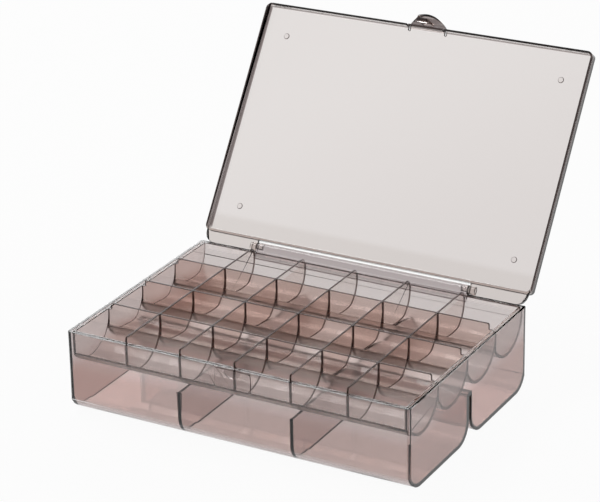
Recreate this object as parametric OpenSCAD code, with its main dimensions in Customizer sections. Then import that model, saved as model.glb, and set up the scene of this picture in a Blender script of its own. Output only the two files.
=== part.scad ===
// Two-layer bead organizer: a clear box with six deep compartments, a lift-out tray with
// 24 round-bottomed cells, and one hinged lid with a snap latch.
// Millimetres. The origin is the middle of the front trough's flat foot, with the front towards
// -Y and the hinge towards +Y. The lid is drawn open, against its stop. The modules below work
// about the middle of the box, and from_foot then carries each piece to that origin.

/* [Box] */
// Width of the box, side to side
box_w = 220; // [190:1:260]
// Depth of the box, front to back
box_d = 150; // [136:1:172]
// Height of the box, feet to rim
box_h = 51.5; // [42:0.5:70]
// Thickness of the box's walls
box_wall = 1.8; // [1.4:0.1:2.4]
// Thickness of the box's floor
box_floor = 1.8; // [1.4:0.1:3]
// Radius of the box's upright corners
box_corner_r = 2; // [1.5:0.5:6]
// Radius along the underside of each trough
trough_r = 13; // [6:0.5:18]
// Open gap between the two troughs
trough_gap = 2.5; // [1.5:0.1:5]
// Compartments side by side in each trough
lower_cols = 3; // [2:1:5]
// Thickness of the dividers in the troughs
lower_divider = 1.6; // [1:0.1:2.4]

/* [Tray] */
// Columns of cells
tray_cols = 6; // [3:1:8]
// Rows of cells
tray_rows = 4; // [2:1:5]
// Depth of the tray below the rim of the box
tray_depth = 22.4; // [16:0.1:26]
// Thickness of the tray's outer walls and scoops
tray_wall = 1.4; // [1:0.1:2]
// Thickness of the dividers and row walls
divider = 1.2; // [0.8:0.1:2]
// Height of the dividers above the rim
divider_rise = 3.7; // [1.5:0.1:6]
// How much narrower the front and back rows are than the middle ones
end_row_trim = 1.5; // [0:0.1:3]
// Gap between tray and box at each side
tray_gap_side = 0.8; // [0.3:0.1:1.5]
// Gap between tray and box at front and back
tray_gap_front = 0.3; // [0.2:0.1:1]
// Gap between the scoops and the dividers they stand on
tray_seat = 0.3; // [0.1:0.1:0.5]
// Radius of each scoop's floor at its steep front side
scoop_front_r = 14; // [8:0.5:15]
// Radius of each scoop's floor at its easy back side, where beads are swept up
scoop_back_r = 19; // [8:0.5:20]

/* [Lid] */
// How far the lid stands past the box's outline at front and sides
lid_over = 0.6; // [0:0.1:0.8]
// How far the lid's back wall stands in from the back of the box
lid_back_inset = 1.5; // [1.2:0.1:2]
// Height of the lid, skirt and plate together
lid_h = 5.8; // [5:0.1:9]
// Thickness of the lid's plate
lid_plate = 1.6; // [1.2:0.1:1.6]
// Thickness of the lid's skirt
lid_wall = 1.3; // [1:0.1:1.3]
// Radius of the lid's corners in plan
lid_corner_r = 4; // [3:0.5:8]
// Radius along the top edges of the lid
lid_edge_r = 1.2; // [0.5:0.1:1.5]
// Gap between the closed lid and the rim
lid_seat = 0.2; // [0.1:0.1:0.5]
// Diameter of the four pips inside the lid
pip_d = 3.4; // [2:0.1:5]
// Height of the pips
pip_h = 0.4; // [0.2:0.1:0.6]
// Distance of the pips from the lid's side edges
pip_side = 17.5; // [12:0.5:30]
// Distance of the pips from the lid's front and back edges
pip_front = 19; // [12:0.5:30]

/* [Hinge] */
// Angle from closed to the open stop
open_angle = 124.6; // [112:0.1:135]
// Length of the barrel on the box
barrel_len = 143.2; // [100:0.2:150]
// Diameter of the barrel
barrel_d = 5.6; // [5:0.1:5.6]
// Hinge axis behind the back wall
hinge_back = 2.8; // [2.8:0.1:3.2]
// Hinge axis above the rim
hinge_up = 1.4; // [1:0.1:1.6]
// Diameter of the lugs on the lid
lug_d = 5; // [4.4:0.1:5.2]
// Width of each lug
lug_w = 4; // [3:0.2:6]
// Gap between each lug and the barrel's end
lug_gap = 0.4; // [0.2:0.1:0.8]
// Diameter of the stub pins
pin_d = 3; // [2:0.1:3.2]
// Length of the stub pins
pin_len = 4.4; // [3:0.1:8]
// Radial clearance of the pins in the barrel
pin_fit = 0.06; // [0.03:0.01:0.1]
// Thickness of the lid's rear flange
flange_t = 2; // [1.6:0.1:2.4]
// Radius of the flange's ends
flange_r = 7; // [3:0.5:7]
// How far the flange's ends stand in from the lid's sides
flange_in = 1.8; // [0:0.1:3]

/* [Latch] */
// Width of the tongue
tongue_w = 23.5; // [18:0.5:34]
// Reach of the finger lip in front of the lid
lip_reach = 7; // [5:0.5:9]
// Drop of the finger lip below the lid's top
lip_drop = 5.6; // [4:0.2:7]
// Thickness of the finger lip
lip_t = 1.6; // [1.2:0.1:2]
// How much larger the radius of the lip's round front is than half the tongue
lip_round = 3.5; // [0.5:0.5:12]
// Width of the slits beside the tongue
slit_w = 1; // [0.6:0.1:1.6]
// How far the slits run into the lid's plate
slit_in = 3.2; // [2:0.2:6]
// Width of the hook
hook_w = 6.5; // [5:0.5:14]
// Width of the catch's snap bump
bump_w = 10; // [6:0.5:14]
// How far the bump stands out from the wall
bump_out = 1.7; // [1:0.1:2]
// Height of the bump
bump_h = 4; // [3:0.2:6]
// Width of the pad behind the bump
pad_w = 23; // [16:0.5:30]
// Height of the pad
pad_h = 12; // [8:0.5:16]
// How far the pad stands out from the wall
pad_out = 0.5; // [0.3:0.1:0.8]
// Gap around the bump when the hook is on it
latch_gap = 0.35; // [0.2:0.05:0.6]

/* [Hidden] */

$fn = 72;
SMOKE = [0.62, 0.52, 0.50, 0.6];
PALE_SMOKE = [0.80, 0.77, 0.76, 0.5];
eps = 0.02;    // overlap that fuses two solids of one moulding
past = 1;      // how far a cutter runs past what it cuts

// Box
trough_out = (box_d - trough_gap) / 2;               // outer depth of one trough
trough_mid = (trough_gap + trough_out) / 2;          // y of a trough's middle
ridge_z = box_h - tray_depth - tray_seat;            // top of the ridge and lower dividers
inner_w = box_w - 2 * box_wall;
inner_d = box_d - 2 * box_wall;
inner_corner_r = max(box_corner_r - box_wall, 1);
lower_cell_w = (inner_w - (lower_cols - 1) * lower_divider) / lower_cols;
trough_in = trough_out - 2 * box_wall;
trough_in_r = max(trough_r - box_wall, 1);
from_foot = [0, trough_mid, 0];                      // from the middle of the box to the origin

// Tray
tray_w = inner_w - 2 * tray_gap_side;
tray_d = inner_d - 2 * tray_gap_front;
tray_in_w = tray_w - 2 * tray_wall;
tray_in_d = tray_d - 2 * tray_wall;
col_pitch = (tray_in_w + divider) / tray_cols;
row_pitch = (tray_in_d + divider + 2 * end_row_trim) / tray_rows;
tray_bottom = box_h - tray_depth;
divider_top = box_h + divider_rise;
row_wall_end = 1.9;       // gap between a raised row wall's end and the tray's end wall
divider_front_in = 0.2;   // how far the dividers' front ends stand in from the tray's face
divider_lid_gap = 1;      // gap between the dividers' back ends and the closed lid's skirt
divider_front_r = 1.2;    // rounded upper front corners of the dividers
divider_back_r = 2.8;     // and upper back corners, clear of the swinging lid
row_wall_end_r = 1.2;     // rounded upper corners of the raised row walls
raised_root = 4;          // how far the raised walls reach down into the tray

// Lid, closed
lid_z = box_h + lid_seat;                            // underside of the skirt
lid_top = lid_z + lid_h;
lid_front = -box_d / 2 - lid_over;
lid_back = box_d / 2 - lid_back_inset;
lid_w = box_w + 2 * lid_over;
lid_d = lid_back - lid_front;
lid_mid = (lid_back + lid_front) / 2;
lid_ceiling = lid_top - lid_plate;

// Hinge
hinge_y = box_d / 2 + hinge_back;
hinge_z = box_h + hinge_up;
lug_in = barrel_len / 2 + lug_gap;                   // inner face of each lug
bore_spare = 0.6;                                    // bore left beyond the pin's tip
bore_depth = pin_len - lug_gap + bore_spare;
web_drop = 4.5;                                      // how far the barrel's web runs down the wall
web_low = -35;                                       // angle where the web's lower face meets the barrel
web_high = 160;                                      // and where its upper face does
stop_gap = 0.05;                                     // gap left at the open stop
flange_low = lid_z - hinge_z;                        // underside of the flange from the axis
flange_past = (hinge_back - stop_gap + flange_low * sin(open_angle)) / -cos(open_angle);
flange_end = hinge_y + flange_past;

// Latch
bump_drop = 0.8;                                     // top of the bump below the rim
bump_nose = 0.35;                                    // share of its height that stands square
bump_r = 0.62 * bump_w;                              // radius of its round lower edge
bump_bottom = box_h - bump_drop - bump_h;
pad_drop = 0.6;                                      // top of the pad below the rim
pad_corner_r = 1.5;
wall_front = -box_d / 2;
hook_face = wall_front - bump_out - latch_gap;       // face of the hook's leg towards the wall
hook_t = 1.5;                                        // thickness of the hook's leg
hook_barb_h = 1.6;                                   // height of the barb under the bump
hook_low = bump_bottom - latch_gap - hook_barb_h;
lip_bend = (lip_reach * lip_reach + lip_drop * lip_drop) / (2 * lip_drop);   // lip's outer radius
lip_front_r = tongue_w / 2 + lip_round;              // radius of the lip's round front, in plan

// A rectangle about the origin with four round corners.
module round_rect(w, d, r) {
    square([w - 2 * r, d], center = true);
    square([w, d - 2 * r], center = true);
    for (x = [-1, 1], y = [-1, 1])
        translate([x * (w / 2 - r), y * (d / 2 - r)]) circle(r);
}

// A rectangle from [x0, y0] to [x1, y1] with the two lower corners round.
module round_bottom(x0, y0, x1, y1, r) {
    translate([x0 + r, y0]) square([x1 - x0 - 2 * r, y1 - y0]);
    translate([x0, y0 + r]) square([x1 - x0, y1 - y0 - r]);
    for (x = [x0 + r, x1 - r]) translate([x, y0 + r]) circle(r);
}

// The same with the two upper corners round.
module round_top(x0, y0, x1, y1, r) {
    mirror([0, 1]) round_bottom(x0, -y1, x1, -y0, r);
}

// Runs a YZ profile from x0 to x1.
module along_x(x0, x1) {
    translate([x0, 0, 0]) rotate([90, 0, 90]) linear_extrude(x1 - x0) children();
}

// Runs an XZ profile from y0 to y1.
module along_y(y0, y1) {
    translate([0, y1, 0]) rotate([90, 0, 0]) linear_extrude(y1 - y0) children();
}

// ---------------------------------------------------------------- box

// Outer section of the body: one rectangle above, two troughs below.
module box_section() {
    translate([-box_d / 2, ridge_z - box_floor]) square([box_d, box_h - ridge_z + box_floor]);
    for (side = [-1, 1]) {
        y0 = side * trough_mid - trough_out / 2;
        round_bottom(y0, 0, y0 + trough_out, box_h - past, trough_r);
    }
}

// Inner section of one trough.
module trough_hollow(side) {
    y0 = side * trough_mid - trough_in / 2;
    round_bottom(y0, box_floor, y0 + trough_in, ridge_z + past, trough_in_r);
}

// The hinge barrel, its web to the back wall and the bores for the lid's stub pins.
module barrel() {
    r = barrel_d / 2;
    difference() {
        along_x(-barrel_len / 2, barrel_len / 2) {
            translate([hinge_y, hinge_z]) circle(r);
            polygon([
                [box_d / 2 - box_wall / 2, box_h],
                [box_d / 2 - box_wall / 2, box_h - web_drop],
                [box_d / 2, box_h - web_drop],
                [hinge_y + r * cos(web_low), hinge_z + r * sin(web_low)],
                [hinge_y, hinge_z],
                [hinge_y + r * cos(web_high), hinge_z + r * sin(web_high)]
            ]);
        }
        for (side = [-1, 1])
            translate([side * (barrel_len / 2 - bore_depth), hinge_y, hinge_z])
                rotate([0, side * 90, 0]) cylinder(h = bore_depth + past, d = pin_d + 2 * pin_fit);
    }
}

// The latch catch: a pad on the front wall with a round-bottomed snap bump.
module latch_catch() {
    along_y(wall_front - pad_out, wall_front + eps)
        translate([0, box_h - pad_drop - pad_h / 2]) round_rect(pad_w, pad_h, pad_corner_r);
    intersection() {
        along_x(-bump_w / 2, bump_w / 2) polygon([
            [wall_front + eps, bump_bottom + bump_h],
            [wall_front - pad_out, bump_bottom + bump_h],
            [wall_front - bump_out, bump_bottom + bump_h * bump_nose],
            [wall_front - bump_out, bump_bottom],
            [wall_front + eps, bump_bottom]
        ]);
        along_y(wall_front - bump_out - past, wall_front + past)
            translate([0, bump_bottom + bump_r]) circle(bump_r);
    }
}

module box() {
    color(SMOKE) translate(from_foot) {
        difference() {
            intersection() {
                along_x(-box_w / 2, box_w / 2) box_section();
                linear_extrude(box_h) round_rect(box_w, box_d, box_corner_r);
            }
            translate([0, 0, ridge_z])
                linear_extrude(box_h) round_rect(inner_w, inner_d, inner_corner_r);
            for (side = [-1, 1], i = [0 : lower_cols - 1]) {
                x0 = -inner_w / 2 + i * (lower_cell_w + lower_divider);
                along_x(x0, x0 + lower_cell_w) trough_hollow(side);
            }
        }
        barrel();
        latch_catch();
    }
}

// ---------------------------------------------------------------- tray

// Inner front and back edges of row i, counted from the front.
function row_lo(i) = i == 0 ? -tray_in_d / 2 : (i - tray_rows / 2) * row_pitch + divider / 2;
function row_hi(i) = i == tray_rows - 1 ? tray_in_d / 2 : (i + 1 - tray_rows / 2) * row_pitch - divider / 2;
// The floor's two radii in row i, which leave at least a narrow flat between them.
function row_room(i) = row_hi(i) - row_lo(i);
function front_r(i) = min(scoop_front_r, 0.42 * row_room(i), tray_depth - tray_wall);
function back_r(i) = min(scoop_back_r, 0.56 * row_room(i), tray_depth - tray_wall);

// Section of scoop i grown by t: a steep front, a flat, an easy back, straight above, up to z_top.
module scoop(i, t, z_top) {
    y0 = row_lo(i) - t;
    y1 = row_hi(i) + t;
    low = tray_bottom + tray_wall - t;
    r0 = front_r(i) + t;
    r1 = back_r(i) + t;
    intersection() {
        union() {
            translate([y0 + r0, low]) square([y1 - y0 - r0 - r1, z_top - low]);
            translate([y0, low + r0]) square([r0 + eps, z_top - low]);
            translate([y1 - r1 - eps, low + r1]) square([r1 + eps, z_top - low]);
            translate([y0 + r0, low + r0]) circle(r0);
            translate([y1 - r1, low + r1]) circle(r1);
        }
        translate([y0, low]) square([y1 - y0, z_top - low]);
    }
}

// Section of a raised wall from y0 to y1, rooted inside the tray, with upper corners of radii r0 and r1.
module raised_section(y0, y1, r0, r1) {
    low = box_h - raised_root;
    mid = (y0 + y1) / 2;
    translate([y0 + r0, low]) square([y1 - y0 - r0 - r1, divider_top - low]);
    translate([y0, low]) square([mid - y0, divider_top - low - r0]);
    translate([mid, low]) square([y1 - mid, divider_top - low - r1]);
    translate([y0 + r0, divider_top - r0]) circle(r0);
    translate([y1 - r1, divider_top - r1]) circle(r1);
}

module tray() {
    front = -tray_d / 2 + divider_front_in;
    back = lid_back - lid_wall - divider_lid_gap;
    color(SMOKE) translate(from_foot) {
        difference() {
            intersection() {
                along_x(-tray_w / 2, tray_w / 2)
                    for (i = [0 : tray_rows - 1]) scoop(i, tray_wall, box_h);
                translate([0, 0, tray_bottom - past])
                    linear_extrude(tray_depth + 2 * past) round_rect(tray_w, tray_d, inner_corner_r);
            }
            for (i = [0 : tray_rows - 1], j = [0 : tray_cols - 1]) {
                x0 = -tray_in_w / 2 + j * col_pitch;
                along_x(x0, x0 + col_pitch - divider) scoop(i, 0, box_h + past);
            }
        }
        // Dividers, front to back
        for (j = [1 : tray_cols - 1]) {
            x = -tray_in_w / 2 + j * col_pitch - divider;
            along_x(x, x + divider) raised_section(front, back, divider_front_r, divider_back_r);
        }
        // Walls between the scoops, side to side
        for (i = [1 : tray_rows - 1]) {
            y = row_lo(i) - divider;
            along_y(y, y + divider) raised_section(
                -tray_in_w / 2 + row_wall_end, tray_in_w / 2 - row_wall_end, row_wall_end_r, row_wall_end_r);
        }
    }
}

// ---------------------------------------------------------------- lid

// The lid's block from z0 to z1, in from the outline by t, with round upper edges.
module lid_block(z0, z1, t, r_plan, r_edge) {
    intersection() {
        translate([0, lid_mid, z0]) linear_extrude(z1 - z0) round_rect(lid_w - 2 * t, lid_d - 2 * t, r_plan);
        along_x(-lid_w / 2 + t, lid_w / 2 - t)
            round_top(lid_front + t, z0, lid_back - t, z1, r_edge);
        along_y(lid_front + t, lid_back - t)
            round_top(-lid_w / 2 + t, z0, lid_w / 2 - t, z1, r_edge);
    }
}

// Rear flange with round ends, notched for the barrel.
module flange() {
    depth = flange_end - lid_back;
    half = lid_w / 2 - flange_in;
    notch = 2 * lug_in;
    translate([0, 0, lid_z]) linear_extrude(flange_t) difference() {
        union() {
            translate([-half, lid_back - lid_wall / 2])
                square([2 * half, depth + lid_wall / 2 - flange_r]);
            translate([-half + flange_r, lid_back])
                square([2 * (half - flange_r), depth]);
            for (side = [-1, 1])
                translate([side * (half - flange_r), flange_end - flange_r]) circle(flange_r);
        }
        translate([-notch / 2, lid_back]) square([notch, depth + past]);
    }
}

// A lug and its stub pin, for the barrel's +X end.
module lug() {
    translate([lug_in, hinge_y, hinge_z]) rotate([0, 90, 0]) cylinder(h = lug_w, d = lug_d);
    translate([lug_in - pin_len, hinge_y, hinge_z])
        rotate([0, 90, 0]) cylinder(h = pin_len + eps, d = pin_d);
}

// The finger lip: a bent sheet in front of the lid, rounded in plan.
module finger_lip() {
    intersection() {
        along_x(-tongue_w / 2, tongue_w / 2) intersection() {
            difference() {
                translate([lid_front, lid_top - lip_bend]) circle(lip_bend);
                translate([lid_front, lid_top - lip_bend]) circle(lip_bend - lip_t);
            }
            translate([lid_front - lip_reach, lid_top - lip_drop - lip_t])
                square([lip_reach + lid_wall, lip_drop + lip_t]);
        }
        translate([0, lid_front, lid_top - lip_drop - 2 * lip_t]) linear_extrude(lip_drop + 3 * lip_t)
            intersection() {
                translate([-tongue_w / 2, -lip_reach]) square([tongue_w, lip_reach + lid_wall]);
                translate([0, -lip_reach + lip_front_r]) circle(lip_front_r);
            }
    }
}

// Height of the middle of the finger lip's sheet at y.
function lip_z(y) = lid_top - lip_bend + sqrt(pow(lip_bend - lip_t / 2, 2) - pow(y - lid_front, 2));

// The hook under the finger lip, with its barb below the bump.
module hook() {
    along_x(-hook_w / 2, hook_w / 2) polygon([
        [hook_face, lip_z(hook_face)],
        [hook_face, hook_low + hook_barb_h],
        [wall_front - pad_out - latch_gap, hook_low + hook_barb_h],
        [hook_face, hook_low],
        [hook_face - hook_t, hook_low],
        [hook_face - hook_t, lip_z(hook_face - hook_t)]
    ]);
}

// The lid as it lies when closed.
module closed_lid() {
    pip_x = lid_w / 2 - pip_side;
    pip_y = lid_d / 2 - pip_front;
    difference() {
        union() {
            lid_block(lid_z, lid_top, 0, lid_corner_r, lid_edge_r);
            flange();
            finger_lip();
        }
        lid_block(lid_z - past, lid_ceiling, lid_wall, lid_corner_r - lid_wall, lid_edge_r);
        for (side = [-1, 1])
            translate([side * (tongue_w + slit_w) / 2 - slit_w / 2, lid_front - past, lid_z - past])
                cube([slit_w, slit_in + past, lid_h + 2 * past]);
    }
    hook();
    for (side = [-1, 1]) mirror([side < 0 ? 1 : 0, 0, 0]) lug();
    for (x = [-pip_x, pip_x], y = [-pip_y, pip_y])
        translate([x, lid_mid + y, lid_ceiling - pip_h]) cylinder(h = pip_h + eps, d = pip_d);
}

module lid() {
    color(PALE_SMOKE) translate(from_foot)
        translate([0, hinge_y, hinge_z]) rotate([-open_angle, 0, 0])
            translate([0, -hinge_y, -hinge_z]) closed_lid();
}

box();
tray();
lid();
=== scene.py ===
"""Looks of the two-layer bead organizer: a smoky clear box, its lift-out tray and the open lid.

Metres, in the part's own frame: +Z up, front towards -Y, hinge towards +Y.
"""

import math
from collections import namedtuple

import bmesh
import bpy
import numpy as np
from mathutils import Matrix, Vector
from mathutils.bvhtree import BVHTree


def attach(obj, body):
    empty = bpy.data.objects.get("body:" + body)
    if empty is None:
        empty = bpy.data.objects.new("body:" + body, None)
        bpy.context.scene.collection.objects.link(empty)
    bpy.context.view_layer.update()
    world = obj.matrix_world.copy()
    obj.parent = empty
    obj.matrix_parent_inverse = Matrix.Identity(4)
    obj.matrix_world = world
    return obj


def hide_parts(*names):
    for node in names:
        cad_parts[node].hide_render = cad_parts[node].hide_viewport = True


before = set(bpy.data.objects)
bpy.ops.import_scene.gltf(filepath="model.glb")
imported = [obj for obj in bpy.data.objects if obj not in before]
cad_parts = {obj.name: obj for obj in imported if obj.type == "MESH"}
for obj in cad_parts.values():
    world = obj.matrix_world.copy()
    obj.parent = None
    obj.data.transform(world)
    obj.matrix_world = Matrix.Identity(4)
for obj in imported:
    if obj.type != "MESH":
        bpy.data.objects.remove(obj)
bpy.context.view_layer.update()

MM = 0.001

# ---------------------------------------------------------------- camera

CAMERA_PLACE = Vector((0.66067, -1.123415, 0.66915))
CAMERA_AZIMUTH = 29.554
CAMERA_ELEVATION = 23.287
CAMERA_ROLL = -1.166
FOCAL_WIDTHS = 4.2556  # focal length as a share of the picture's width


def add_camera():
    """A camera at the viewing angle, turned about its own axis by the roll."""
    data = bpy.data.cameras.new("camera")
    data.sensor_fit = "HORIZONTAL"
    data.sensor_width = 36
    data.lens = data.sensor_width * FOCAL_WIDTHS
    data.clip_start, data.clip_end = 0.05, 20
    camera = bpy.data.objects.new("camera", data)
    bpy.context.scene.collection.objects.link(camera)
    azimuth, elevation = math.radians(CAMERA_AZIMUTH), math.radians(CAMERA_ELEVATION)
    back = Vector((
        math.sin(azimuth) * math.cos(elevation),
        -math.cos(azimuth) * math.cos(elevation),
        math.sin(elevation),
    ))
    turn = (-back).to_track_quat("-Z", "Y").to_matrix()
    roll = Matrix.Rotation(math.radians(CAMERA_ROLL), 3, "Z")
    camera.matrix_world = Matrix.Translation(CAMERA_PLACE) @ (turn @ roll).to_4x4()
    bpy.context.scene.camera = camera


# ---------------------------------------------------------------- moulded shells

MERGE = 2e-6  # corners of the CAD mesh closer than this are one
FLAT = math.radians(0.3)  # faces that meet at less than this lie in one plane
SHARP = math.radians(30)  # edges that turn more than this are rounded
UNROUNDED = math.radians(50)  # edges that turn more than this once rounded stay sharp

RAY_SHARES = (0.03, 0.25, 0.5, 0.75, 0.97)  # where along an edge its room is looked for
ROOM_SHARE = 0.8  # how much of the room a rounding may take
ROOM_SHARE_FACED = 0.45  # and how much if a rounding lies opposite
SIDE_SLACK = 1e-3  # how far past a side's ends a ray still meets it, as a share of the side
SHORTEST_RAY = 1e-9
PARALLEL_RAY, PARALLEL_SIDES = 1e-9, 1e-16  # turns so small that nothing is met

OVERLAP_SHARE = 0.01  # a face whose triangles cover this much more than it runs over itself
OVERLAP_AREA = 1e-7
ROUNDING_TRIES = 3
ASTRAY = 0.6  # how many radii a corner may leave the surface by
NEAR_TROUBLE = 2  # how many radii around a bad point the edges are rounded less
ROUNDED_LESS = 0.5

TURNED = math.radians(8)  # how far shading may lean out of a flat face's plane
TURNED_ROUNDING = math.radians(60)  # and out of a rounding's
SHADING_WEIGHT = 90  # how much more a large face counts in the shading than a small one
LARGE = 300 * MM ** 2  # faces larger than this are shaded flat all over

OUTER_WALL = 2.5 * MM  # how far from the bounds a face is still outside
FRONT_ROW = 40 * MM  # how far the front scoop and its back wall reach in from the tray's front
BACK_ARC = 14 * MM  # how far the last scoop's outer arc reaches in from the tray's back
WALL_FROM, WALL_FULL = 0.7, 0.1  # the upward part of a normal where a wall begins and is whole
UNDERSIDE = -0.05  # the upward part of a normal below which a face is an underside
RIM_ALONG = 0.99  # how nearly a rim's normal runs along the way it looks
RIM_AREA = 250 * MM ** 2  # rims are smaller than this


def read_all(items, key, width=1, kind=np.float32):
    """One property of all items of a mesh, as a row of numbers or as rows of width numbers."""
    values = np.empty(len(items) * width, kind)
    items.foreach_get(key, values)
    return values.reshape(-1, width) if width > 1 else values


def closest_to_sharp(cut):
    """How near a cut in a flat face runs to a real edge at its ends: 0 along it, 1 square to it."""
    along = (cut.verts[1].co - cut.verts[0].co).normalized()
    nearest = 1.0
    for v, way in zip(cut.verts, (along, -along)):
        for other in v.link_edges:
            if other is not cut and other.is_manifold and other.calc_face_angle(0) > FLAT:
                nearest = min(nearest, 1 - (other.other_vert(v).co - v.co).normalized().dot(way))
    return nearest


def flat_edges(work):
    """The edges whose two faces lie in one plane."""
    return [e for e in work.edges if e.is_manifold and e.calc_face_angle(0) < FLAT]


def join_flat_faces(work, planes):
    """Joins the triangles of each flat face and keeps only cuts that meet real edges squarely.

    The mesh is first cut by the planes, which cross its straight edges squarely. Then the cuts in
    flat faces are flipped to the shortest and taken out one by one, the one that runs closest along
    a real edge first. A cut stays where the face around it would have a hole.
    """
    for axis, place in planes:
        normal = Vector([float(axis == a) for a in "XYZ"])
        bmesh.ops.bisect_plane(
            work, geom=[*work.verts, *work.edges, *work.faces], dist=MERGE,
            plane_co=normal * place, plane_no=normal,
        )
    bmesh.ops.beautify_fill(
        work, faces=work.faces, edges=flat_edges(work), use_restrict_tag=False, method="ANGLE"
    )
    work.normal_update()
    cuts = [(closest_to_sharp(e), i, e) for i, e in enumerate(flat_edges(work))]
    for _, _, cut in sorted(cuts, key=lambda row: row[:2]):
        if not cut.is_valid or len(cut.link_faces) != 2:
            continue
        a, b = cut.link_faces
        if a is not b and (set(a.verts) & set(b.verts)) == set(cut.verts):
            bmesh.utils.face_join([a, b], True)
    for v in [v for v in work.verts if len(v.link_edges) == 2]:
        one, two = (e.other_vert(v).co - v.co for e in v.link_edges)
        if one.angle(two, 0) > math.pi - FLAT:
            bmesh.ops.dissolve_verts(work, verts=[v])


def meetings(starts, ways, corners, sides, normal):
    """Where each ray meets the line of each side, all of them in the plane of one face.

    Returns three tables with a row for each ray and a column for each side. The turn is way cross
    side. The reach, in lengths of the way, is the gap from start to corner cross side, over the
    turn. The share of the side is the gap cross way, over the turn.
    """
    gap = corners[None] - starts[:, None]
    turn = np.cross(ways[:, None], sides[None]) @ normal
    with np.errstate(divide="ignore", invalid="ignore"):
        reach = np.cross(gap, sides[None]) @ normal / turn
        share = np.cross(gap, ways[:, None]) @ normal / turn
    return turn, reach, share


def room_beside_edges(face, sharp):
    """How wide a rounding each edge of a flat face can take on it.

    From five points of every edge a ray runs square to it across the face. The shortest ray is the
    room, of which the edge gets four fifths, or less than half if a rounded edge lies opposite.
    """
    corners = np.array([loop.vert.co for loop in face.loops])
    normal = np.array(face.normal)
    sides = np.roll(corners, -1, axis=0) - corners
    across = np.cross(normal, sides / np.linalg.norm(sides, axis=1)[:, None])
    faced = np.array([loop.edge in sharp for loop in face.loops])
    room = np.full(len(corners), np.inf)
    for at in RAY_SHARES:
        turn, reach, share = meetings(corners + at * sides, across, corners, sides, normal)
        hit = (share > -SIDE_SLACK) & (share < 1 + SIDE_SLACK)
        hit &= (np.abs(turn) > PARALLEL_RAY) & (reach > SHORTEST_RAY)
        free = np.where(hit, reach, np.inf) * np.where(faced, ROOM_SHARE_FACED, ROOM_SHARE)[None]
        room = np.minimum(room, free.min(axis=1))
    return room


def crossings(mesh):
    """The points where the outline of a face runs over itself: its triangles cover more than it."""
    mesh.calc_loop_triangles()
    owner = read_all(mesh.loop_triangles, "polygon_index", kind=int)
    covered = read_all(mesh.loop_triangles, "area", kind=float)
    covered = np.bincount(owner, covered, len(mesh.polygons))
    whole = read_all(mesh.polygons, "area", kind=float)
    found = []
    allowed = np.maximum(OVERLAP_SHARE * whole, OVERLAP_AREA)
    for i in np.nonzero(covered - whole > allowed)[0]:
        face = mesh.polygons[i]
        start = np.array([mesh.vertices[v].co for v in face.vertices])
        sides = np.roll(start, -1, axis=0) - start
        turn, s, t = meetings(start, sides, start, sides, np.array(face.normal))
        order = np.arange(len(start))
        apart = (order[:, None] - order[None]) % len(start)
        hit = (np.abs(turn) > PARALLEL_SIDES) & (s > 0) & (s < 1) & (t > 0) & (t < 1)
        hit &= (apart > 1) & (apart < len(start) - 1)
        first, _ = np.nonzero(hit)
        found += list(start[first] + s[hit][:, None] * sides[first])
    return found


def mark_faces(mesh, rim_way=None, rim_from=None):
    """Marks each face for the materials.

    edge is 1 on a rounding, which carries the second material index until it is put back here. rim
    is 1 on a thin wall's end, a small face that looks along rim_way beyond rim_from. outside is 1
    next to the bounds, wall goes to 1 with steepness inside them, and underside is 1 below.
    """
    index = read_all(mesh.polygons, "material_index", kind=np.int32)
    normals = read_all(mesh.polygons, "normal", 3)
    centres = read_all(mesh.polygons, "center", 3)
    rim = np.zeros(len(index), bool)
    if rim_way:
        way = np.array(rim_way)
        rim = (normals @ way > RIM_ALONG) & (centres @ way > rim_from)
        rim &= read_all(mesh.polygons, "area") < RIM_AREA
    low, high = centres[:, :2].min(0), centres[:, :2].max(0)
    outside = (centres[:, :2] < low + OUTER_WALL) | (centres[:, :2] > high - OUTER_WALL)
    outside = outside.any(1)
    between = (centres[:, 1] > low[1] + FRONT_ROW) & (centres[:, 1] < high[1] - BACK_ARC)
    up = normals[:, 2]
    steep = np.clip((WALL_FROM - np.abs(up)) / (WALL_FROM - WALL_FULL), 0, 1)
    marks = {
        "edge": index == 1,
        "rim": rim,
        "outside": outside,
        "wall": steep * (between & ~outside),
        "underside": up < UNDERSIDE,
    }
    for name, mask in marks.items():
        values = mask.astype(np.float32)
        mesh.attributes.new(name, "FLOAT", "FACE").data.foreach_set("value", values)
    mesh.polygons.foreach_set("material_index", np.zeros(len(index), np.int32))
    mesh.materials.clear()


def even_shading(shell):
    """Smooth shading weighted by face area, so that the roundings take up the whole turn.

    A flat face still more than TURNED out of its own plane at a corner gets its true normal there,
    and so does a rounding at TURNED_ROUNDING. A face over LARGE has its true normal all over.
    """
    even = shell.modifiers.new("even_shading", "WEIGHTED_NORMAL")
    even.keep_sharp = True
    even.weight = SHADING_WEIGHT
    view = bpy.context.evaluated_depsgraph_get()
    mesh = bpy.data.meshes.new_from_object(shell.evaluated_get(view))
    shell.modifiers.remove(even)
    at_corner = read_all(mesh.corner_normals, "vector", 3)
    sides = read_all(mesh.polygons, "loop_total", kind=np.int32)
    rounded = np.repeat(read_all(mesh.attributes["edge"].data, "value"), sides) > 0
    area = np.repeat(read_all(mesh.polygons, "area"), sides)
    own = np.repeat(read_all(mesh.polygons, "normal", 3), sides, axis=0)
    limit = np.where(rounded, math.cos(TURNED_ROUNDING), math.cos(TURNED))
    wrong = ((own * at_corner).sum(1) < limit) | (area > LARGE)
    at_corner[wrong] = own[wrong]
    mesh.normals_split_custom_set(at_corner.tolist())
    shell.data = mesh


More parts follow.
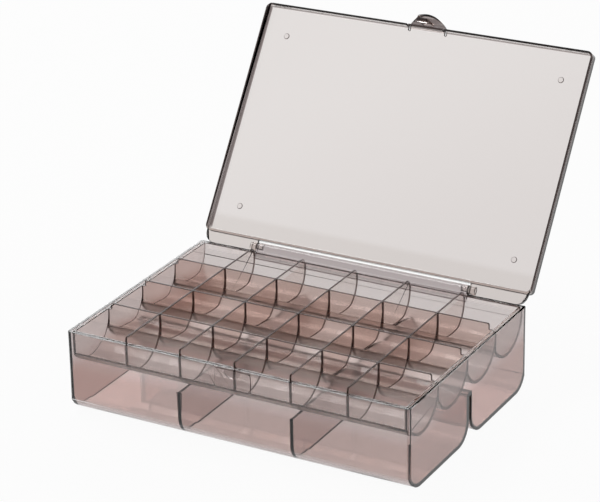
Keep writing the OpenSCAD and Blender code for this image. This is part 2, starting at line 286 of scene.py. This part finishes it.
def round_edges(shell, surface, edge_r, ends, weights):
    """Gives the shell a mesh with rounded edges, in which roundings are of the second material.

    Where a rounding leaves the surface or crosses itself, the edges around that point get half as
    much, and a corner still astray goes back to the nearest point of the surface.
    """
    rounding = shell.modifiers.new("rounded_edges", "BEVEL")
    rounding.limit_method = "WEIGHT"
    rounding.width = edge_r
    rounding.segments = 2
    rounding.use_clamp_overlap = False
    rounding.miter_outer = "MITER_ARC"
    rounding.material = 1
    along = ends[:, 1] - ends[:, 0]
    for attempt in range(ROUNDING_TRIES):
        view = bpy.context.evaluated_depsgraph_get()
        baked = bpy.data.meshes.new_from_object(shell.evaluated_get(view))
        nearest = [(v, surface.find_nearest(v.co)) for v in baked.vertices]
        astray = [(v, point) for v, (point, _, _, gap) in nearest if gap > ASTRAY * edge_r]
        trouble = crossings(baked) + [np.array(point) for _, point in astray]
        if not trouble or attempt == ROUNDING_TRIES - 1:
            break
        for point in trouble:
            share = ((point - ends[:, 0]) * along).sum(1) / (along * along).sum(1)
            foot = ends[:, 0] + np.clip(share, 0, 1)[:, None] * along
            weights[np.linalg.norm(foot - point, axis=1) < NEAR_TROUBLE * edge_r] *= ROUNDED_LESS
        shell.data.attributes["bevel_weight_edge"].data.foreach_set("value", weights)
        shell.data.update()
    for v, point in astray:
        v.co = point
    shell.modifiers.remove(rounding)
    shell.data = baked


def moulded_shell(node, name, edge_r, body, planes, rim=()):
    """A copy of a CAD node as it leaves the mould: every sharp edge rounded or filleted by edge_r.

    The loose triangles are merged and flat ones joined. An edge sharper than SHARP is rounded by
    edge_r, or by what its two faces have room for. rim is what mark_faces needs to find rims.
    """
    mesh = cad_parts[node].data.copy()
    work = bmesh.new()
    work.from_mesh(mesh)
    bmesh.ops.remove_doubles(work, verts=work.verts, dist=MERGE)
    surface = BVHTree.FromBMesh(work)
    join_flat_faces(work, planes)
    work.normal_update()
    weight = work.edges.layers.float.new("bevel_weight_edge")
    sharp = {e for e in work.edges if e.is_manifold and e.calc_face_angle(0) > SHARP}
    for e in sharp:
        e[weight] = 1.0
    for face in work.faces:
        for loop, room in zip(face.loops, room_beside_edges(face, sharp)):
            loop.edge[weight] = min(loop.edge[weight], room / edge_r)
    ends = np.array([[v.co for v in e.verts] for e in work.edges])
    weights = np.array([e[weight] for e in work.edges], np.float32)
    work.to_mesh(mesh)
    work.free()
    mesh.materials.clear()
    mesh.materials.append(None)
    mesh.materials.append(None)
    mesh.shade_smooth()
    shell = bpy.data.objects.new(name, mesh)
    bpy.context.scene.collection.objects.link(shell)
    round_edges(shell, surface, edge_r, ends, weights)
    shell.data.name = name
    mark_faces(shell.data, *rim)
    shell.data.set_sharp_from_angle(angle=UNROUNDED)
    even_shading(shell)
    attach(shell, body)
    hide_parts(node)
    return shell


# ---------------------------------------------------------------- materials

SCUFF_STRETCH = (1.0, 0.16, 0.4)
SCUFF_DETAIL, SCUFF_GRAIN = 6, 0.65
SCUFFED_FROM, SCUFFED_FULL = 0.56, 0.72  # the noise where a scuff begins and is whole
EDGE_ROUGHNESS = 0.3

FINISH_INPUTS = {
    "Polish": 0.015,
    "Satin": 0.0,
    "Scuffs": 0.02,
    "Scuff Scale": 90.0,
    "Ripple Scale": 14.0,
    "Rim Above": 0.0,
}
FINISH_MARKS = ("Edge", "Wall", "Outside")

PLASTIC_IOR = 1.5
RIPPLE = 0.02 * MM
DARKEST = 0.9  # the largest share that the absorption's colour takes away
WHITE = (1.0, 1.0, 1.0)

# A painted shade: a darker colour that is whole where the distance along the way is less than
# full, and gone beyond none.
Fade = namedtuple("Fade", "tint way full none outside_only")


def add_math(nodes, links, operation, a, b):
    """A math node fed by sockets or plain numbers. Returns its result."""
    node = nodes.new("ShaderNodeMath")
    node.operation = operation
    for socket, feed in zip(node.inputs, (a, b)):
        if isinstance(feed, (int, float)):
            socket.default_value = feed
        else:
            links.new(feed, socket)
    return node.outputs[0]


def add_noise(nodes, links, vector, scale, detail):
    """A noise texture fed by sockets."""
    noise = nodes.new("ShaderNodeTexNoise")
    noise.inputs["Detail"].default_value = detail
    links.new(vector, noise.inputs["Vector"])
    links.new(scale, noise.inputs["Scale"])
    return noise


def add_range(nodes, links, value, start, end):
    """A map range node that takes start to 0 and end to 1."""
    span = nodes.new("ShaderNodeMapRange")
    span.inputs["From Min"].default_value = start
    span.inputs["From Max"].default_value = end
    links.new(value, span.inputs["Value"])
    return span


def moulded_finish():
    """The finish that all three mouldings share, as one node group.

    Roughness is the polish, more on a satin underside and on edges, plus fine scuffs from handling.
    Height is the faint ripple that the flow of the melt leaves. Edge, Wall and Outside pass on the
    marks, which the materials use for painted shade, and Edge also counts a rim that lies higher
    than
    Rim Above.
    """
    group = bpy.data.node_groups.new("moulded_finish", "ShaderNodeTree")
    face = group.interface
    for name, value in FINISH_INPUTS.items():
        socket = face.new_socket(name, in_out="INPUT", socket_type="NodeSocketFloat")
        socket.default_value = value
    for name in ("Roughness", "Height", *FINISH_MARKS):
        face.new_socket(name, in_out="OUTPUT", socket_type="NodeSocketFloat")
    nodes, links = group.nodes, group.links
    given, result = nodes.new("NodeGroupInput"), nodes.new("NodeGroupOutput")
    place = nodes.new("ShaderNodeTexCoord").outputs["Object"]

    marks = {}
    for name in ("edge", "rim", "wall", "underside", "outside"):
        node = nodes.new("ShaderNodeAttribute")
        node.attribute_name = name
        marks[name] = node.outputs["Fac"]
    split = nodes.new("ShaderNodeSeparateXYZ")
    links.new(place, split.inputs[0])
    above = add_math(nodes, links, "GREATER_THAN", split.outputs["Z"], given.outputs["Rim Above"])
    rim = add_math(nodes, links, "MULTIPLY", above, marks["rim"])
    marks["edge"] = add_math(nodes, links, "MAXIMUM", marks["edge"], rim)
    for name in FINISH_MARKS:
        links.new(marks[name.lower()], result.inputs[name])

    stretch = nodes.new("ShaderNodeMapping")
    stretch.inputs["Scale"].default_value = SCUFF_STRETCH
    links.new(place, stretch.inputs["Vector"])
    scuffs = add_noise(
        nodes, links, stretch.outputs["Vector"], given.outputs["Scuff Scale"], SCUFF_DETAIL
    )
    scuffs.inputs["Roughness"].default_value = SCUFF_GRAIN
    worn = add_range(nodes, links, scuffs.outputs["Fac"], SCUFFED_FROM, SCUFFED_FULL)
    rough = given.outputs["Polish"]
    for mark, amount in (
        (worn.outputs["Result"], given.outputs["Scuffs"]),
        (marks["underside"], given.outputs["Satin"]),
        (marks["edge"], EDGE_ROUGHNESS),
    ):
        more = add_math(nodes, links, "MULTIPLY", mark, amount)
        rough = add_math(nodes, links, "ADD", rough, more)
    links.new(rough, result.inputs["Roughness"])

    ripple = add_noise(nodes, links, place, given.outputs["Ripple Scale"], 1)
    links.new(ripple.outputs["Fac"], result.inputs["Height"])
    return group


def tint_mix(nodes, links, share, base, tint):
    """The colour that goes from base to tint with share. base is a colour or a socket."""
    mix = nodes.new("ShaderNodeMix")
    mix.data_type = "RGBA"
    if isinstance(base, tuple):
        mix.inputs["A"].default_value = (*base, 1)
    else:
        links.new(base, mix.inputs["A"])
    mix.inputs["B"].default_value = (*tint, 1)
    links.new(share, mix.inputs["Factor"])
    return mix.outputs["Result"]


def times_shade_fade(nodes, links, place, outside, tint, shade_fade):
    """A colour's socket multiplied by a painted shade that fades out along its way."""
    along = nodes.new("ShaderNodeVectorMath")
    along.operation = "DOT_PRODUCT"
    along.inputs[1].default_value = shade_fade.way
    links.new(place, along.inputs[0])
    span = add_range(nodes, links, along.outputs["Value"], shade_fade.full, shade_fade.none)
    span.interpolation_type = "SMOOTHSTEP"
    span.inputs["To Min"].default_value = 1
    span.inputs["To Max"].default_value = 0
    share = span.outputs["Result"]
    if shade_fade.outside_only:
        share = add_math(nodes, links, "MULTIPLY", share, outside)
    product = nodes.new("ShaderNodeMix")
    product.data_type = "RGBA"
    product.blend_type = "MULTIPLY"
    product.inputs["Factor"].default_value = 1
    links.new(tint, product.inputs["A"])
    links.new(tint_mix(nodes, links, share, WHITE, shade_fade.tint), product.inputs["B"])
    return product.outputs["Result"]


def clear_plastic(name, per_metre, edge_painted_shade, wall_painted_shade=WHITE, shade_fades=(), satin=0.0, rim_above=0.0):
    """Clear moulded plastic.

    per_metre is how much red, green and blue it takes up per metre. The colour of a crossing of the
    surface carries painted shade: the near-black edge colour on a rounding and a rim, the wall
    colour on an upright face, and the fades, which darken it by place.
    """
    material = bpy.data.materials.new(name)
    material.use_nodes = True
    nodes, links = material.node_tree.nodes, material.node_tree.links
    output, shader = nodes["Material Output"], nodes["Principled BSDF"]
    shader.inputs["IOR"].default_value = PLASTIC_IOR
    shader.inputs["Transmission Weight"].default_value = 1
    finish = nodes.new("ShaderNodeGroup")
    finish.node_tree = bpy.data.node_groups["moulded_finish"]
    finish.inputs["Satin"].default_value = satin
    finish.inputs["Rim Above"].default_value = rim_above
    links.new(finish.outputs["Roughness"], shader.inputs["Roughness"])
    bump = nodes.new("ShaderNodeBump")
    bump.inputs["Strength"].default_value = 1.0
    bump.inputs["Distance"].default_value = RIPPLE
    links.new(finish.outputs["Height"], bump.inputs["Height"])
    links.new(bump.outputs["Normal"], shader.inputs["Normal"])

    # Painted shade: upright faces inside the tray are darkened by the wall colour, standing in for
    # the darker look of the row walls.
    tint = tint_mix(nodes, links, finish.outputs["Wall"], WHITE, wall_painted_shade)
    place = nodes.new("ShaderNodeTexCoord").outputs["Object"]
    # Each fade darkens the colour by place, as painted shade.
    for shade_fade in shade_fades:
        tint = times_shade_fade(nodes, links, place, finish.outputs["Outside"], tint, shade_fade)
    # Painted shade: roundings and rims take the near-black edge colour, in place of the dark
    # refraction lines along edges.
    tint = tint_mix(nodes, links, finish.outputs["Edge"], tint, edge_painted_shade)
    links.new(tint, shader.inputs["Base Color"])

    density = max(per_metre) / DARKEST
    depth = nodes.new("ShaderNodeVolumeAbsorption")
    depth.inputs["Color"].default_value = (*[1 - p / density for p in per_metre], 1)
    depth.inputs["Density"].default_value = density
    links.new(depth.outputs["Volume"], output.inputs["Volume"])
    return material


# ---------------------------------------------------------------- stage

FLOOR_SIZE = 12
FLOOR_BELOW = 0.2 * MM  # how far under the part's feet the floor lies
FLOOR_GLOW = 0.95  # the share of the floor that is plain white, the rest takes the shadow
PAPER = 0.9
HORIZON, OVERHEAD = 0.05, 0.40  # the upward part of a direction where white ends and grey begins
OVERHEAD_GREY = 0.30


def add_floor():
    """A white floor that reads as the backdrop but keeps a soft shadow."""
    bpy.ops.mesh.primitive_plane_add(size=FLOOR_SIZE, location=(0, 0, -FLOOR_BELOW))
    floor = bpy.context.object
    floor.name = "floor"
    material = bpy.data.materials.new("white_floor")
    material.use_nodes = True
    nodes, links = material.node_tree.nodes, material.node_tree.links
    nodes.clear()
    output = nodes.new("ShaderNodeOutputMaterial")
    paper = nodes.new("ShaderNodeBsdfDiffuse")
    paper.inputs["Color"].default_value = (PAPER, PAPER, PAPER, 1)
    glow = nodes.new("ShaderNodeEmission")
    glow.inputs["Strength"].default_value = 1.0
    seen_by = nodes.new("ShaderNodeLightPath").outputs
    seen = add_math(nodes, links, "MAXIMUM", seen_by["Is Camera Ray"], seen_by["Is Glossy Ray"])
    seen = add_math(nodes, links, "MAXIMUM", seen, seen_by["Is Transmission Ray"])
    mix = nodes.new("ShaderNodeMixShader")
    links.new(add_math(nodes, links, "MULTIPLY", seen, FLOOR_GLOW), mix.inputs[0])
    links.new(paper.outputs[0], mix.inputs[1])
    links.new(glow.outputs[0], mix.inputs[2])
    links.new(mix.outputs[0], output.inputs["Surface"])
    floor.data.materials.append(material)


def add_world():
    """A studio white at the backdrop's height and dim overhead, where the softboxes hang."""
    world = bpy.data.worlds.new("studio")
    bpy.context.scene.world = world
    world.use_nodes = True
    nodes, links = world.node_tree.nodes, world.node_tree.links
    background = nodes["Background"]
    place = nodes.new("ShaderNodeTexCoord")
    split = nodes.new("ShaderNodeSeparateXYZ")
    links.new(place.outputs["Generated"], split.inputs[0])
    ramp = nodes.new("ShaderNodeValToRGB")
    stops = ramp.color_ramp.elements
    stops[0].position = HORIZON
    stops[0].color = (1, 1, 1, 1)
    stops[1].position = OVERHEAD
    stops[1].color = (OVERHEAD_GREY, OVERHEAD_GREY, OVERHEAD_GREY, 1)
    links.new(split.outputs["Z"], ramp.inputs[0])
    path = nodes.new("ShaderNodeLightPath")
    sky = tint_mix(nodes, links, path.outputs["Is Camera Ray"], ramp.outputs["Color"], WHITE)
    links.new(sky, background.inputs["Color"])
    background.inputs["Strength"].default_value = 1.0


def add_softbox(name, place, towards, width, height, radiance):
    """An area lamp whose face looks radiance times as bright as white paper."""
    data = bpy.data.lights.new(name, "AREA")
    data.shape = "RECTANGLE"
    data.size, data.size_y = width, height
    data.energy = radiance * math.pi * width * height
    lamp = bpy.data.objects.new(name, data)
    lamp.location = place
    lamp.rotation_euler = (Vector(towards) - Vector(place)).to_track_quat("-Z", "Y").to_euler()
    bpy.context.scene.collection.objects.link(lamp)


# ---------------------------------------------------------------- the three mouldings

# Planes that cut the flat faces before they are joined: the middles of the tray's six columns, the
# object's own middle, the hinge's axis, and two columns of the lid's pips.
COLUMN_MIDDLES = [("X", x * MM) for x in (-88.5, -53.3, -17.8, 17.8, 53.3, 88.5)]
MIDDLE = [("X", 0)]
HINGE_CUTS = [("Z", 52.9 * MM), ("Y", 115.925 * MM)]
PIP_CUTS = [("X", x * MM) for x in (-93.1, 93.1)]

# The rims found here get the same near-black painted edge shade as the roundings.
TRAY_RIMS = ((0, 0, 1), 55 * MM)  # the tops of the dividers look up, above this height
LID_RIMS = ((0, -0.8231, 0.5678), -66.5 * MM)  # the skirt's ends look out of the open lid
LID_RIMS_ABOVE = 64 * MM

UP, DOWN, LEFT, RIGHT = (0, 0, 1), (0, 0, -1), (-1, 0, 0), (1, 0, 0)
# The lid's painted shade fades out along this way, which leaves the upper left corner palest.
TO_LID_UNSHADED_CORNER = (-0.5, 0.4, 0.6)  # towards the open lid's upper left corner, where it is palest
RIDGE = 28.8 * MM  # height of the ridge between the troughs, under the tray

# Where each painted shade is full and where it is gone, along its way.
TROUGH_TOP = (RIDGE - 4 * MM, RIDGE + 12 * MM)
SIDE_WALL = (-108.5 * MM, -107.5 * MM)
SKIRT_FOOT = (-58 * MM, -56 * MM)
FLANGE_TOP = (62 * MM, 66 * MM)
LID_PLATE = (30 * MM, 200 * MM)

# Painted shade: the near-black colour of roundings and rims, standing in for the dark lines that
# refraction draws along the edges of clear plastic.
PAINTED_EDGE_SHADE = (0.05, 0.03, 0.03)

scene = bpy.context.scene
scene.view_settings.view_transform = "Standard"
scene.cycles.max_bounces = 40
scene.cycles.transmission_bounces = 40
scene.cycles.glossy_bounces = 16

box = moulded_shell(
    "box", "box_shell", 0.35 * MM, "box", COLUMN_MIDDLES + HINGE_CUTS + MIDDLE
)
tray = moulded_shell(
    "tray", "tray_shell", 0.3 * MM, "tray", COLUMN_MIDDLES, TRAY_RIMS
)
lid = moulded_shell(
    "lid", "lid_shell", 0.25 * MM, "lid", PIP_CUTS + HINGE_CUTS + MIDDLE, LID_RIMS
)

moulded_finish()
# Painted shade on the box: darker towards the bottom, more so on its outer walls, and the outsides
# of its end walls darker, the right (+X) one more than the left; roundings near-black.
box.data.materials.append(clear_plastic(
    "box_plastic", (138, 160, 160), edge_painted_shade=PAINTED_EDGE_SHADE,
    shade_fades=[
        Fade((0.95, 0.89, 0.87), UP, *TROUGH_TOP, outside_only=False),
        Fade((0.88, 0.78, 0.75), UP, *TROUGH_TOP, outside_only=True),
        Fade((0.80, 0.74, 0.73), LEFT, *SIDE_WALL, outside_only=True),
        Fade((0.87, 0.81, 0.80), RIGHT, *SIDE_WALL, outside_only=True),
    ],
))
# Painted shade on the tray: its row walls darker brown, its roundings and divider tops near-black.
tray.data.materials.append(clear_plastic(
    "tray_plastic", (60, 85, 97), edge_painted_shade=PAINTED_EDGE_SHADE, wall_painted_shade=(0.86, 0.77, 0.74), satin=0.3
))
# Painted shade on the lid: a faint darkening that fades out towards its upper left corner, a
# near-black darkening of the faces along its outline above the hinge's height that stands in for
# the dark refraction outline, a faint darkening below the flange's top, and near-black roundings
# and skirt ends.
lid.data.materials.append(clear_plastic(
    "lid_plastic", (110, 138, 150), edge_painted_shade=(0.04, 0.03, 0.03), rim_above=LID_RIMS_ABOVE,
    shade_fades=[
        Fade((0.92, 0.91, 0.91), TO_LID_UNSHADED_CORNER, *LID_PLATE, outside_only=False),
        Fade((0.25, 0.22, 0.22), DOWN, *SKIRT_FOOT, outside_only=True),
        Fade((0.92, 0.91, 0.90), UP, *FLANGE_TOP, outside_only=False),
    ],
))

add_camera()
add_floor()
add_world()
add_softbox("overhead_softbox", (-0.65, 0.1, 1.25), (0, 0.03, 0), 0.6, 0.45, radiance=5)
add_softbox("back_softbox", (-0.75, 1.35, 0.72), (0, 0.03, 0.05), 0.9, 0.3, radiance=3.5)
